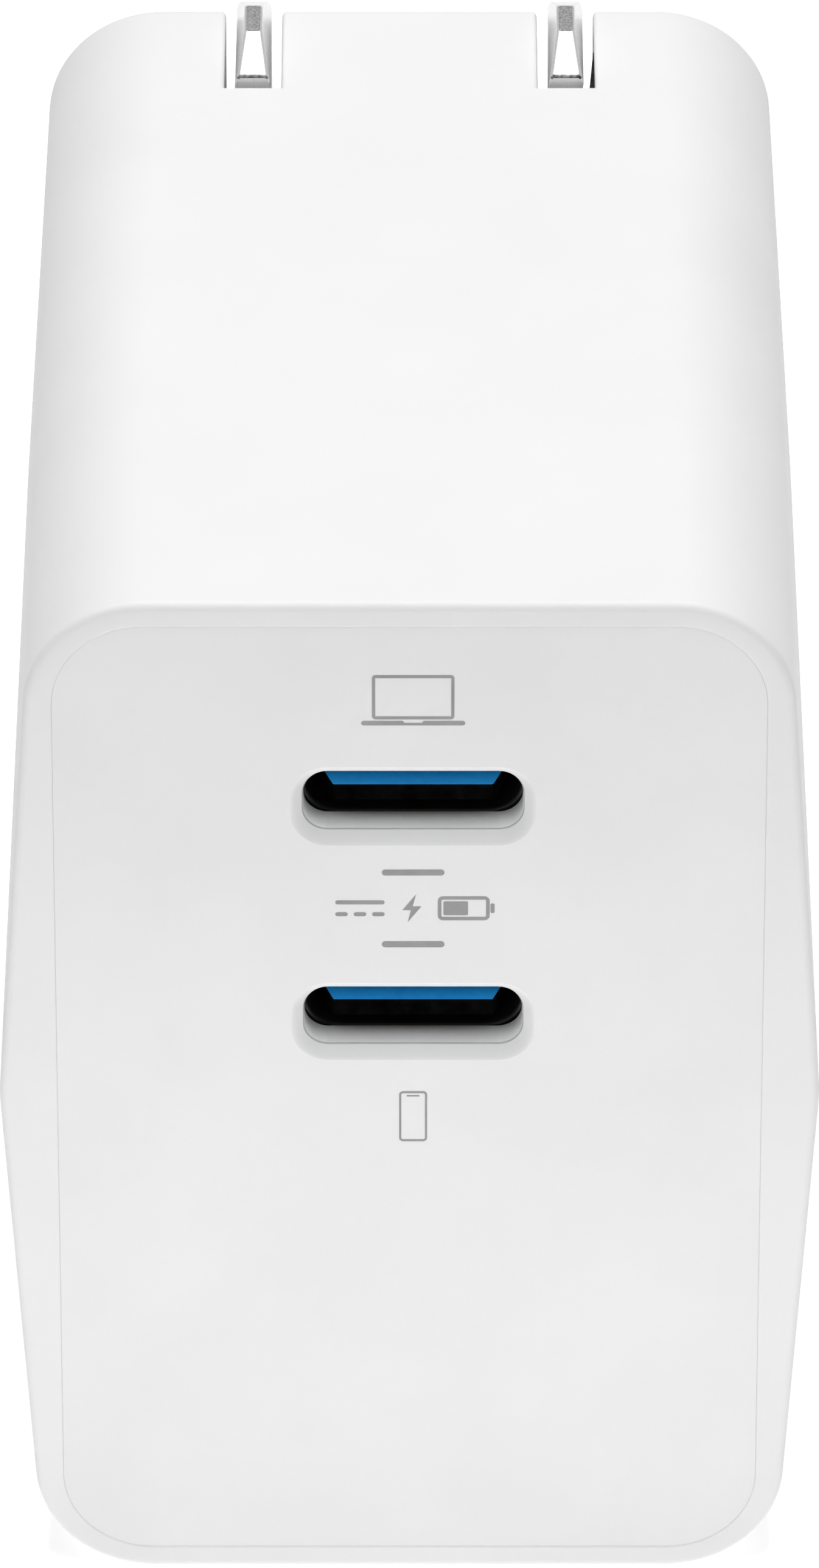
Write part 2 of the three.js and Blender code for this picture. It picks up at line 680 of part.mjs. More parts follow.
function addSemiconductors() {
  const onPortBoard = portBoardBack + gap;
  addPart("gan_switch", softBox(3.6, 5.2, 0.9, 0.2), finishes.chipBlack(), [9.4, 1.6, seatZ]);
  addPart("primary_controller", softBox(4, 4, 1.4, 0.2), finishes.chipBlack(), [6.6, 18, seatZ]);
  addPart("optocoupler", softBox(3.6, 3.2, 3.2, 0.2), finishes.chipBlack(), [9.3, -11.7, seatZ]);
  addPart("sync_rectifier", block(-8, -3, onPortBoard, onPortBoard + 0.9, 12, 17), finishes.chipBlack());
  addPart("pd_controller", block(2, 7, onPortBoard, onPortBoard + 0.9, 12, 17), finishes.chipBlack());
  addPart("output_inductor", block(-3.7, 3.7, onPortBoard, onPortBoard + 4.8, 22.9, 29.3),
    finishes.ferrite());
}

function addHeatAndInsulation() {
  const inner = roundedRectangle(24.7, 39.9, 2.7, midZ);
  const sleeve = prismY(roundedRectangle(25.2, 40.4, 2.95, midZ), frontY + 8.4, 14.7, [inner]);
  addPart("insulation_sleeve", sleeve, finishes.insulationFilm());
  addPart("heat_spreader_left", block(-11.95, -11.55, -12, 12, 6, 38), finishes.aluminium());
  addPart("heat_spreader_right", block(11.55, 11.95, -12, 12, 6, 38), finishes.aluminium());
  addPart("thermal_pad", block(-9.5, 5.7, -10, 2.8, 22, 22.5), finishes.siliconePad());
}

addCase();
addPlug();
addBoards();
addReceptacles();
addTransformer();
addFilterParts();
addCapacitors();
addSemiconductors();
addHeatAndInsulation();

export default charger;
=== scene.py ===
"""Visual model of a compact two-port wall charger with a folding two-blade plug.

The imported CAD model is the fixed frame. Shapes are worked out in millimetres, in the CAD's own
axes, and are scaled to metres when a piece is finished. +X is the charger's right, -Y its port
face, +Y its wall face, +Z up.
"""

import json
import math

import bmesh
import bpy
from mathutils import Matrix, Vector


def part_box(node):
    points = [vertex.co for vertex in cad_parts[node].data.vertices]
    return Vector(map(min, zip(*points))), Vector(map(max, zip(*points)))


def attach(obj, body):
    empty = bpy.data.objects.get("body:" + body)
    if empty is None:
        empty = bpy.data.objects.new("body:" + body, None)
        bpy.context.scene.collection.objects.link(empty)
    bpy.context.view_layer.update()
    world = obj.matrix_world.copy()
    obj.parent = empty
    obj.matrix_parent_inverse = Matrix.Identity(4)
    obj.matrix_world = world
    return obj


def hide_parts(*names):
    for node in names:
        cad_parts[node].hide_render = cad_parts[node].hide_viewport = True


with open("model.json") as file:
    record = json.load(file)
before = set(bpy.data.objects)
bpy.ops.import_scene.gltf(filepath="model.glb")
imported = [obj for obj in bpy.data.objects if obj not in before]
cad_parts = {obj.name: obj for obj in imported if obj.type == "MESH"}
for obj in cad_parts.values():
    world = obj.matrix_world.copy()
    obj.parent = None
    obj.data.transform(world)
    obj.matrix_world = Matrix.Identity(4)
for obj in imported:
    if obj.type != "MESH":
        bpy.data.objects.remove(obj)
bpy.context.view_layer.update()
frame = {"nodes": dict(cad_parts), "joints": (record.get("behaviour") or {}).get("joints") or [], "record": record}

MM = 0.001


def box_mm(node):
    low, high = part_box(node)
    return low / MM, high / MM


# ---------- Places read from the CAD ----------
HOUSING_LOW, HOUSING_HIGH = box_mm("main_housing")
PANEL_LOW, PANEL_HIGH = box_mm("front_panel")
BLADE_LOW, BLADE_HIGH = box_mm("prong_blade_right")
CARRIER_LOW, CARRIER_HIGH = box_mm("prong_carrier")
FRONT_Y = HOUSING_LOW.y
WALL_Y = HOUSING_HIGH.y
HEIGHT = HOUSING_HIGH.z
MID_Z = HEIGHT / 2
PANEL_Y = PANEL_LOW.y
BLADE_X = (BLADE_LOW.x + BLADE_HIGH.x) / 2
PIVOT = Vector(frame["joints"][0]["pos_m"]) / MM
LEVELS = ("upper", "lower")

# ---------- Sizes of the case and panel ----------
RIDGE_HALF = 15.949         # half width at the ridges, before they are rounded
FLANK_SLOPE = 0.0655        # how far the sides lean in, per mm above or below the ridge
CORNER_RADIUS = 4.7
RIDGE_REACH = 0.59          # the ridge's rounding starts this far above and below it
FRONT_EDGE = 0.35
BACK_EDGE = 0.6
CASE_WALL = 1.7
BACK_WALL = 1.8
LEDGE_WIDTH = 1.0           # the ledge behind the panel, and the slope that carries it
LEDGE_CLEARANCE = 0.25
RECESS_LIP = 0.08
PANEL_RADIUS = 3.5
PANEL_EDGE = 0.006
PANEL_THICKNESS = 1.2
SKIRT_HALF = (12.5, 20.2)   # the frame behind the panel
SKIRT_RADIUS = 2.8
SKIRT_WALL = 1.0
SLOT_HALF = 1.15            # the slots that the folded blades lie in
SLOT_FRONT_Y = WALL_Y - 6.71
CHANNEL_WALL = 1.2
CHANNEL_TOP = MID_Z + 21.5
CHANNEL_RISE = 0.6          # from the window's top to the channels' floor
WINDOW_HALF = (8.55, 3.3)
WINDOW_RADIUS = 0.5
LIP_ROUND = 0.2

# ---------- Sizes of the sockets ----------
MOUTH = (8.34, 2.56)
SHELL_WALL = 0.3
OPENING = (8.46, 2.58, 0.95)    # width, height and corner radius of the hole in the panel
DISH_REACH = 0.45
DISH_DEPTH = 0.5
DISH_LIP = ((0.08, -0.02), (0.03, 0.004), (-0.02, 0.03))    # (past the dish's edge, depth)
COLLAR = 0.5                # how much longer the hole is made behind the panel
COLLAR_WALL = 0.8
GROOVE = {"inner": 0.012, "bottom": 0.015, "outer": 0.04, "depth": 0.07}
TONGUE = {
    "half": 3.4, "thickness": 0.7, "chamfer_side": 0.32, "chamfer_run": 0.9,
    "root": 4.7,            # from the shell's front to the base
    "overlap": 0.5, "step_run": 1.2, "step_half": 0.65, "base": (8.1, 2.32),
}
CONTACTS = {
    "count": 12, "pitch": 0.5, "half_width": 0.13, "length": 3.0,
    "start": 1.6, "power_start": 1.35, "sunk": 0.05, "proud": 0.02,
}
POWER_CONTACTS = (0, 4, 7, 11)

# ---------- Sizes of the plug ----------
TIP = {"ramp_run": 2.1, "ramp_rise": 0.95, "side_run": 0.37, "side_rise": 1.3, "edge": 0.12}
# Sizes of the near-black strip of painted shadow in the right slot
ROOT = {"half": 1.6, "tail_back": 0.7, "bottom": -2.9, "shoulder": 3.1}
SLOT_SHADOW_SIZES = {
    "start": 0.02, "reach": 3.1, "top": 0.16, "depth": 2.8,
    "front_lip": 0.21, "back_lip": 0.03, "sunk": 0.2,
}
BARREL_HALF = 8.2
SHAFT_RADIUS = 0.9
BLADE_SOCKET = {"clearance": 0.1, "half_depth": 1.7, "half_height": 5}

# ---------- Sizes of the printed pictograms ----------
SCREEN = {"width": 3.15, "height": 1.97, "radius": 0.14, "line": 0.124, "z": 40.555}
KEYBOARD = {"half": 1.99, "radius": 0.095, "notch": ((0.40, 0.095), (0.33, 0.005)), "z": 39.395}
PHONE = {"width": 1.09, "height": 2.32, "radius": 0.16, "line": 0.085, "z": 21.42}
EARPIECE = {"width": 0.50, "height": 0.055, "z": 22.37}
UPPER_BAR = {"width": 2.41, "height": 0.26, "z": 32.64}
LOWER_BAR = {"width": 2.42, "height": 0.27, "z": 29.365}
SIGNS_Z = 31.01
DC_SIGN = {"x": -2.05, "width": 1.9, "dash": 0.48, "pitch": 0.71, "line": 0.17, "rise": 0.27}
BOLT_X = -0.05
BOLT = ((0.16, 0.63), (-0.36, -0.08), (-0.03, -0.08), (-0.16, -0.63), (0.36, 0.08), (0.03, 0.08))
BATTERY = {"x": 1.95, "width": 2.0, "height": 1.08, "radius": 0.2, "line": 0.14}
BATTERY_CAP = {"x": 3.06, "width": 0.16, "height": 0.42}
BATTERY_CHARGE = {"x": 1.64, "width": 0.95, "height": 0.62}
CHARGE_RADIUS = 0.06

# ---------- Sizes of the studio ----------
FLOOR_SIZE = 3              # metres
FLOOR_DROP = 0.05
FLOOR_GLOW = 0.56
SKY_STRENGTH = 0.05
CAMERA_LENS = 313.85
CAMERA_BACK = 443.94        # from the front face
CAMERA_RISE = 291.74        # above mid-height
CAMERA_TILT = 58            # degrees, from looking straight down


# ---------- Outlines in the XZ plane ----------
def arc(centre, radius, start, end, steps):
    return [
        (
            centre[0] + radius * math.cos(start + (end - start) * k / steps),
            centre[1] + radius * math.sin(start + (end - start) * k / steps),
        )
        for k in range(steps + 1)
    ]


def six_sided(top, corner, ridge, radius, corner_steps=20, ridge_steps=6):
    """Outline about MID_Z with four rounded corners and a soft ridge at each side.
    Every such outline has the same number of points, so any two can be joined."""
    lean = math.atan2(ridge - corner, top)
    centre_z = top - radius
    centre_x = corner - radius * (1 - math.sin(lean)) / math.cos(lean)
    quarter = arc((centre_x, centre_z), radius, math.pi / 2, lean, corner_steps)
    down = Vector((math.sin(lean), -math.cos(lean)))
    tip = Vector((ridge, 0))
    start = tip - down * RIDGE_REACH
    end = Vector((start.x, -start.y))
    side = []
    for k in range(ridge_steps + 1):
        t = k / ridge_steps
        p = (1 - t) ** 2 * start + 2 * t * (1 - t) * tip + t * t * end
        side.append((p.x, p.y))
    right = quarter + side + [(x, -z) for x, z in reversed(quarter)]
    left = [(-x, z) for x, z in reversed(right)]
    return [(x, z + MID_Z) for x, z in right + left]


def case_outline(inset):
    top = HEIGHT / 2 - inset
    ridge = RIDGE_HALF - inset * math.hypot(1, FLANK_SLOPE)
    return six_sided(top, ridge - FLANK_SLOPE * top, ridge, max(CORNER_RADIUS - inset, 0.5))


def rectangle_outline(half_width, half_height, radius):
    return six_sided(half_height, half_width, half_width, radius)


def panel_outline(inset):
    half_width = (PANEL_HIGH.x - PANEL_LOW.x) / 2 - inset
    half_height = (PANEL_HIGH.z - PANEL_LOW.z) / 2 - inset
    return rectangle_outline(half_width, half_height, PANEL_RADIUS - inset)


def stadium(width, height, centre, steps=16):
    x, z = centre
    radius = height / 2
    half = width / 2 - radius
    right = arc((x + half, z), radius, -math.pi / 2, math.pi / 2, steps)
    left = arc((x - half, z), radius, math.pi / 2, 1.5 * math.pi, steps)
    return right + left


def rounded_box(width, height, radius, x=0.0, z=0.0, steps=5):
    points = []
    quarter = math.pi / 2
    for k, (sx, sz) in enumerate(((1, 1), (-1, 1), (-1, -1), (1, -1))):
        centre = (x + sx * (width / 2 - radius), z + sz * (height / 2 - radius))
        points += arc(centre, radius, quarter * k, quarter * (k + 1), steps)
    return points


# ---------- Mesh building ----------
def loft(rings, closed=False):
    """A closed skin through (y, outline) rings. A closed loft joins its last ring to its first."""
    bm = bmesh.new()
    loops = [[bm.verts.new((x, y, z)) for x, z in points] for y, points in rings]
    pairs = list(zip(loops, loops[1:]))
    if closed:
        pairs.append((loops[-1], loops[0]))
    for a, b in pairs:
        for i in range(len(a)):
            j = (i + 1) % len(a)
            bm.faces.new((a[i], a[j], b[j], b[i]))
    if not closed:
        bm.faces.new(loops[0])
        bm.faces.new(loops[-1])
    bmesh.ops.recalc_face_normals(bm, faces=bm.faces)
    return bm


def prism(points, y0, y1):
    return loft([(y0, points), (y1, points)])


def prism_x(points, x0, x1):
    """A (y, z) outline carried along X."""
    bm = loft([(x0, points), (x1, points)])
    for v in bm.verts:
        v.co = Vector((v.co.y, v.co.x, v.co.z))
    bmesh.ops.recalc_face_normals(bm, faces=bm.faces)
    return bm


def prism_z(points, z0, z1):
    """An (x, y) outline carried along Z."""
    bm = loft([(z0, points), (z1, points)])
    for v in bm.verts:
        v.co = Vector((v.co.x, v.co.z, v.co.y))
    bmesh.ops.recalc_face_normals(bm, faces=bm.faces)
    return bm


def slab(x0, x1, y0, y1, z0, z1):
    return prism([(x0, z0), (x1, z0), (x1, z1), (x0, z1)], y0, y1)


def joined(parts):
    bm = bmesh.new()
    for part in parts:
        mesh = bpy.data.meshes.new("part")
        part.to_mesh(mesh)
        part.free()
        bm.from_mesh(mesh)
        bpy.data.meshes.remove(mesh)
    return bm


def scratch_object(bm):
    mesh = bpy.data.meshes.new("scratch")
    bm.to_mesh(mesh)
    bm.free()
    obj = bpy.data.objects.new("scratch", mesh)
    bpy.context.scene.collection.objects.link(obj)
    return obj


def combined(target, tool, operation):
    """The boolean of two solids. Both are used up."""
    a, b = scratch_object(target), scratch_object(tool)
    modifier = a.modifiers.new("combine", "BOOLEAN")
    modifier.operation = operation
    modifier.solver = "EXACT"
    modifier.object = b
    bpy.context.view_layer.update()
    result = bmesh.new()
    result.from_object(a, bpy.context.evaluated_depsgraph_get())
    for obj in (a, b):
        mesh = obj.data
        bpy.data.objects.remove(obj)
        bpy.data.meshes.remove(mesh)
    bmesh.ops.remove_doubles(result, verts=result.verts, dist=1e-5)
    bmesh.ops.dissolve_degenerate(result, edges=result.edges, dist=1e-5)
    return result


def cut(target, *tools):
    for tool in tools:
        target = combined(target, tool, "DIFFERENCE")
    return target


def soften(bm, width, segments=3, angle=50, chosen=lambda edge: True):
    """Rounds the convex edges sharper than angle that chosen() accepts."""
    edges = [
        e
        for e in bm.edges
        if e.is_manifold and e.is_convex
        and e.calc_face_angle(0) > math.radians(angle) and chosen(e)
    ]
    bmesh.ops.bevel(
        bm, geom=edges, offset=width, offset_type="OFFSET", segments=segments,
        profile=0.5, affect="EDGES", clamp_overlap=True, miter_outer="ARC",
    )
    return bm


def add_piece(name, bm, material, body, replaces=(), sharp=38):
    bmesh.ops.scale(bm, vec=(MM, MM, MM), verts=bm.verts)
    mesh = bpy.data.meshes.new(name)
    bm.to_mesh(mesh)
    bm.free()
    for m in material if isinstance(material, (list, tuple)) else [material]:
        mesh.materials.append(m)
    mesh.shade_smooth()
    mesh.set_sharp_from_angle(angle=math.radians(sharp))
    obj = bpy.data.objects.new(name, mesh)
    bpy.context.scene.collection.objects.link(obj)
    obj.modifiers.new("even_normals", "WEIGHTED_NORMAL").keep_sharp = True
    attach(obj, body)
    if replaces:
        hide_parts(*replaces)
    return obj


# ---------- Materials ----------
class Surface:
    """A Principled material whose colour, roughness and relief come from noise in object space."""

    def __init__(self, name, metallic=0.0, specular=0.5):
        self.material = bpy.data.materials.new(name)
        self.material.use_nodes = True
        self.tree = self.material.node_tree
        self.shader = self.tree.nodes["Principled BSDF"]
        self.shader.inputs["Metallic"].default_value = metallic
        self.shader.inputs["Specular IOR Level"].default_value = specular
        self.shader.inputs["IOR"].default_value = 1.46
        self.coordinates = self.node("ShaderNodeTexCoord").outputs["Object"]
        self.height = None

    def node(self, kind, **settings):
        made = self.tree.nodes.new(kind)
        for key, value in settings.items():
            setattr(made, key, value)
        return made

    def link(self, output, node, socket):
        self.tree.links.new(output, node.inputs[socket])

    def noise(self, size_mm, stretch=(1, 1, 1), detail=3.0, seed=0.0):
        """Noise whose features are about size_mm across, drawn out along an axis by stretch."""
        mapping = self.node("ShaderNodeMapping")
        mapping.inputs["Scale"].default_value = [1 / s for s in stretch]
        mapping.inputs["Location"].default_value = (seed, seed, seed)
        self.link(self.coordinates, mapping, "Vector")
        made = self.node("ShaderNodeTexNoise")
        made.inputs["Scale"].default_value = 1 / (size_mm * MM)
        made.inputs["Detail"].default_value = detail
        self.link(mapping.outputs["Vector"], made, "Vector")
        return made.outputs["Fac"]

    def spread(self, factor, low, high, start=0.3, end=0.7):
        ranged = self.node("ShaderNodeMapRange")
        ranged.inputs["From Min"].default_value = start
        ranged.inputs["From Max"].default_value = end
        ranged.inputs["To Min"].default_value = low
        ranged.inputs["To Max"].default_value = high
        self.link(factor, ranged, "Value")
        return ranged.outputs["Result"]

    def colour(self, factor, dark, light, start=0.3, end=0.7):
        ramp = self.node("ShaderNodeValToRGB")
        ramp.color_ramp.elements[0].position = start
        ramp.color_ramp.elements[0].color = (*dark, 1)
        ramp.color_ramp.elements[1].position = end
        ramp.color_ramp.elements[1].color = (*light, 1)
        self.link(factor, ramp, "Fac")
        self.link(ramp.outputs["Color"], self.shader, "Base Color")
        return self

    def roughness(self, factor, low, high):
        self.link(self.spread(factor, low, high), self.shader, "Roughness")
        return self

    def relief(self, factor, depth_mm, strength=1.0):
        bump = self.node("ShaderNodeBump")
        bump.inputs["Distance"].default_value = depth_mm * MM
        bump.inputs["Strength"].default_value = strength
        self.link(factor, bump, "Height")
        if self.height is not None:
            self.link(self.height, bump, "Normal")
        self.height = bump.outputs["Normal"]
        self.link(self.height, self.shader, "Normal")
        return self


def grey(value):
    return (value, value, value)


def moulded(name, dark, light, rough=(0.45, 0.6), grain_mm=0.12, grain_depth=0.006,
            patch_mm=5.0, specular=0.5, seed=0.0):
    """Injection-moulded plastic with a fine spark-eroded grain and faint flow patches."""
    s = Surface(name, specular=specular)
    patches = s.noise(patch_mm, detail=2, seed=seed)
    grain = s.noise(grain_mm, detail=4, seed=seed + 3)
    s.colour(patches, dark, light)
    s.roughness(grain, *rough)
    s.relief(grain, grain_depth)
    return s


def metal(name, dark, light, rough=(0.2, 0.35), stretch=(1, 1, 12), streak_mm=0.05,
          streak_depth=0.0015, patch_mm=1.5, metallic=1.0, seed=0.0):
    """Drawn or plated metal with fine streaks along one axis and cloudy patches."""
    s = Surface(name, metallic=metallic)
    patches = s.noise(patch_mm, detail=3, seed=seed)
    streaks = s.noise(streak_mm, stretch=stretch, detail=4, seed=seed + 2)
    s.colour(patches, dark, light)
    s.roughness(streaks, *rough)
    s.relief(streaks, streak_depth)
    return s


CASE_WHITE = moulded("case_white", grey(0.745), grey(0.765), patch_mm=7, specular=0.3).material
PANEL_WHITE = moulded("panel_white", grey(0.74), grey(0.765), patch_mm=6, specular=0.3,
                      seed=5).material
# Brighter copy of the panel white: painted light on the walls of the socket holes, which are the same plastic as
# the panel
OPENING_PAINTED_LIGHT = moulded("opening_painted_light", grey(0.92), grey(0.95), rough=(0.3, 0.4), patch_mm=2,
                        specular=0.4, seed=6).material
BARREL_WHITE = moulded("barrel_white", grey(0.74), grey(0.76), grain_depth=0.004, specular=0.3,
                       seed=8).material
PRINT_GREY = moulded("print_grey", grey(0.26), grey(0.3), rough=(0.5, 0.65), grain_mm=0.05,
                     grain_depth=0.003, patch_mm=0.8, seed=11).material
NICKEL = metal("bright_nickel", grey(0.78), grey(0.85), rough=(0.27, 0.31), metallic=0.45,
               streak_depth=0.0001).material
SHEARED_NICKEL = metal("sheared_nickel", grey(0.16), grey(0.42), rough=(0.45, 0.7), metallic=0.25,
                       patch_mm=0.09, streak_mm=0.05, stretch=(1, 1, 1), streak_depth=0.008,
                       seed=4).material
BURR_NICKEL = metal("burr_nickel", grey(0.01), grey(0.35), rough=(0.3, 0.6), metallic=0.2,
                    patch_mm=0.25, streak_depth=0.003, seed=7).material
# Near-black shell colour: painted shade for the dark inside of each socket, on metal that would otherwise show
# bright
SHELL_PAINTED_SHADE = metal("shell_painted_shade", grey(0.008), grey(0.02), rough=(0.35, 0.5),
                    stretch=(1, 12, 1), metallic=0.0).material
TONGUE_BLACK = moulded("tongue_black", grey(0.001), grey(0.004), rough=(0.6, 0.8),
                       grain_mm=0.08, patch_mm=0.6, specular=0.0).material
TONGUE_BLUE = moulded("tongue_blue", (0.02, 0.38, 0.96), (0.025, 0.44, 1.0), rough=(0.4, 0.55),
                      grain_mm=0.07, grain_depth=0.008, patch_mm=0.4).material
# Near-black colour for the painted shadow in the right slot
SLOT_SHADOW_BLACK = moulded("slot_painted_shadow", grey(0.004), grey(0.015), rough=(0.6, 0.8), grain_mm=0.05,
                     patch_mm=0.4, specular=0.1).material
GOLD = metal("contact_gold", (0.75, 0.5, 0.18), (0.85, 0.6, 0.25), stretch=(1, 12, 1)).material


# ---------- Case ----------
def quarter_round(radius, steps=6):
    """(distance from the end face, inset) pairs, from the end face round to the side."""
    turns = [math.pi / 2 * k / steps for k in range(steps + 1)]
    return [(radius * (1 - math.cos(t)), radius * (1 - math.sin(t))) for t in turns]


def recess_outline(extra):
    return panel_outline(-extra)


def case_shell():
    """Open-fronted case with a ledge behind the panel, two blade channels and the window."""
    inner_back = WALL_Y - BACK_WALL
    ledge = PANEL_Y + PANEL_THICKNESS + LEDGE_CLEARANCE
    rings = [
        (inner_back, case_outline(CASE_WALL)),
        (ledge + 2 * LEDGE_WIDTH, case_outline(CASE_WALL)),
        (ledge + LEDGE_WIDTH, case_outline(CASE_WALL + LEDGE_WIDTH)),
        (ledge, case_outline(CASE_WALL + LEDGE_WIDTH)),
        (ledge, recess_outline(0)),
    ]
    for away, inset in reversed(quarter_round(RECESS_LIP, 4)):
        rings.append((FRONT_Y + away, recess_outline(inset)))
    rings += [(FRONT_Y + away, case_outline(inset)) for away, inset in quarter_round(FRONT_EDGE)]
    back = [(WALL_Y - away, case_outline(inset)) for away, inset in quarter_round(BACK_EDGE, 8)]
    rings += reversed(back)
    shell = loft(rings)

    low = PIVOT.z + WINDOW_HALF[1] + CHANNEL_RISE
    half = SLOT_HALF + CHANNEL_WALL
    for x in (-BLADE_X, BLADE_X):
        channel = slab(x - half, x + half, SLOT_FRONT_Y - CHANNEL_WALL, inner_back + 0.5,
                       low, CHANNEL_TOP)
        shell = combined(shell, channel, "UNION")
    window_outline = rounded_box(2 * WINDOW_HALF[0], 2 * WINDOW_HALF[1], WINDOW_RADIUS, 0, PIVOT.z)
    window = prism(window_outline, inner_back - 1, WALL_Y + 2)
    slots = [
        slab(x - SLOT_HALF, x + SLOT_HALF, SLOT_FRONT_Y, WALL_Y + 2, PIVOT.z, HEIGHT + 2)
        for x in (-BLADE_X, BLADE_X)
    ]
    shell = cut(shell, window, *slots)

    def on_lip(edge):
        middle = (edge.verts[0].co + edge.verts[1].co) / 2
        near_slot = abs(abs(middle.x) - BLADE_X) < SLOT_HALF + 0.01
        on_top = middle.z > HEIGHT - BACK_EDGE - 0.01 and middle.y > SLOT_FRONT_Y - 0.01
        on_back = middle.y > WALL_Y - 0.01
        return (near_slot and on_top) or on_back

    return soften(shell, LIP_ROUND, segments=4, chosen=on_lip)


# ---------- Front panel ----------
def socket_centre(level):
    low, high = box_mm("usb_shell_" + level)
    return (low.x + high.x) / 2, (low.z + high.z) / 2


def opening_outline(reach, centre):
    width, height, radius = OPENING
    return rounded_box(width + 2 * reach, height + 2 * reach, radius + reach, *centre, steps=12)


def port_cutter(centre):
    """Sloping dish that runs into a rounded mouth with a hairline groove, then a straight hole."""
    profile = [(DISH_REACH + past, depth) for past, depth in DISH_LIP]
    for t in (0.2, 0.4, 0.6, 0.8, 0.9):
        profile.append((DISH_REACH * (1 - t), DISH_DEPTH * t - 0.01))
    groove_depth = DISH_DEPTH + GROOVE["depth"]
    profile += [(GROOVE["outer"], groove_depth), (GROOVE["bottom"], groove_depth)]
    profile.append((GROOVE["inner"], DISH_DEPTH))
    profile += [(0.0, DISH_DEPTH + 0.02), (0.0, 5.0)]
    return loft([(PANEL_Y + depth, opening_outline(reach, centre)) for reach, depth in profile])


def socket_panel():
    """Inset plate with a skirt behind it, and a collar and an opening for each socket."""
    back = PANEL_Y + PANEL_THICKNESS
    inner_half = [half - SKIRT_WALL for half in SKIRT_HALF]
    skirt_outer = rectangle_outline(*SKIRT_HALF, SKIRT_RADIUS)
    skirt_inner = rectangle_outline(*inner_half, SKIRT_RADIUS - SKIRT_WALL)
    rings = [(PANEL_Y + away, panel_outline(inset)) for away, inset in quarter_round(PANEL_EDGE, 5)]
    rings += [
        (back, panel_outline(0)),
        (back, skirt_outer),
        (PANEL_HIGH.y, skirt_outer),
        (PANEL_HIGH.y, skirt_inner),
        (back, skirt_inner),
    ]
    plate = loft(rings)
    for level in LEVELS:
        outline = opening_outline(COLLAR_WALL, socket_centre(level))
        collar = prism(outline, back - 0.2, back + COLLAR)
        plate = combined(plate, collar, "UNION")
    plate = cut(plate, *[port_cutter(socket_centre(level)) for level in LEVELS])
    # The walls of each hole and its collar take the brighter copy, as painted light
    for face in plate.faces:
        middle = face.calc_center_median()
        deep = PANEL_Y + DISH_DEPTH + 0.02 < middle.y < back + COLLAR - 0.01
        if deep and abs(face.normal.y) < 0.3 and abs(middle.x) < OPENING[0] / 2 + 0.3:
            face.material_index = 1
    return plate


# ---------- Sockets ----------
def socket_shell(level):
    """Plated tube with a rolled front lip."""
    low, high = box_mm("usb_shell_" + level)
    centre = socket_centre(level)
    roll = SHELL_WALL / 2
    rings = []
    for k in range(7):
        turn = math.pi * k / 6
        reach = roll - roll * math.cos(turn)
        rings.append((low.y + roll - roll * math.sin(turn), reach))
    rings += [(high.y, SHELL_WALL), (high.y, 0.0)]
    skin = [(y, stadium(MOUTH[0] + 2 * r, MOUTH[1] + 2 * r, centre, steps=20)) for y, r in rings]
    return loft(skin, closed=True)


def socket_tongue(level):
    """Leaf with chamfered corners on a stepped base. Only the leaf's upper side is blue."""
    low, high = box_mm("usb_tongue_" + level)
    x, z = socket_centre(level)
    root = box_mm("usb_shell_" + level)[0].y + TONGUE["root"]
    leaf_end = root + TONGUE["overlap"]
    step_start = root - TONGUE["step_run"]
    step_half = TONGUE["step_half"]
    half, side, run = TONGUE["half"], TONGUE["chamfer_side"], TONGUE["chamfer_run"]
    plan = [
        (-half, leaf_end), (-half, low.y + run), (-half + side, low.y),
        (half - side, low.y), (half, low.y + run), (half, leaf_end),
    ]
    bm = prism_z([(x + u, y) for u, y in plan], z - TONGUE["thickness"] / 2,
                 z + TONGUE["thickness"] / 2)
    soften(bm, 0.04, segments=2, angle=20)
    step = slab(x - half, x + half, step_start, leaf_end, z - step_half, z + step_half)
    bm = combined(bm, step, "UNION")
    bm = combined(bm, prism(stadium(*TONGUE["base"], (x, z)), root, high.y), "UNION")
    for face in bm.faces:
        leaf = face.calc_center_median().y < step_start
        if leaf and face.normal.z > 0.9:
            face.material_index = 1
    return bm


def contact_row(level):
    """Twelve contacts on each side of the tongue, well back from its tip."""
    low, _ = box_mm("usb_tongue_" + level)
    centre_x, z = socket_centre(level)
    half = CONTACTS["half_width"]
    strips = []
    for side in (-1, 1):
        face_z = z + side * TONGUE["thickness"] / 2
        z0, z1 = sorted((face_z - side * CONTACTS["sunk"], face_z + side * CONTACTS["proud"]))
        for k in range(CONTACTS["count"]):
            x = centre_x + (k - (CONTACTS["count"] - 1) / 2) * CONTACTS["pitch"]
            start = low.y + CONTACTS["power_start" if k in POWER_CONTACTS else "start"]
            strip = slab(x - half, x + half, start, start + CONTACTS["length"], z0, z1)
            strips.append(soften(strip, 0.02, segments=1))
    return joined(strips)


# ---------- Folding plug ----------
def blade_side():
    """A blade standing up, seen along X, with a ramp on each side of its short flat end."""
    front, back = BLADE_LOW.y - PIVOT.y, BLADE_HIGH.y - PIVOT.y
    top, bottom = BLADE_HIGH.z - PIVOT.z, BLADE_LOW.z - PIVOT.z
    half, shoulder = ROOT["half"], ROOT["shoulder"]
    points = [
        (-half, bottom), (ROOT["tail_back"], bottom), (ROOT["tail_back"], ROOT["bottom"]),
        (half, ROOT["bottom"]), (half, shoulder), (back, shoulder),
        (back, top - TIP["ramp_rise"]), (back - TIP["ramp_run"], top),
        (front + TIP["ramp_run"], top), (front, top - TIP["ramp_rise"]),
        (front, shoulder), (-half, shoulder),
    ]
    return [(y + PIVOT.y, z + PIVOT.z) for y, z in points]


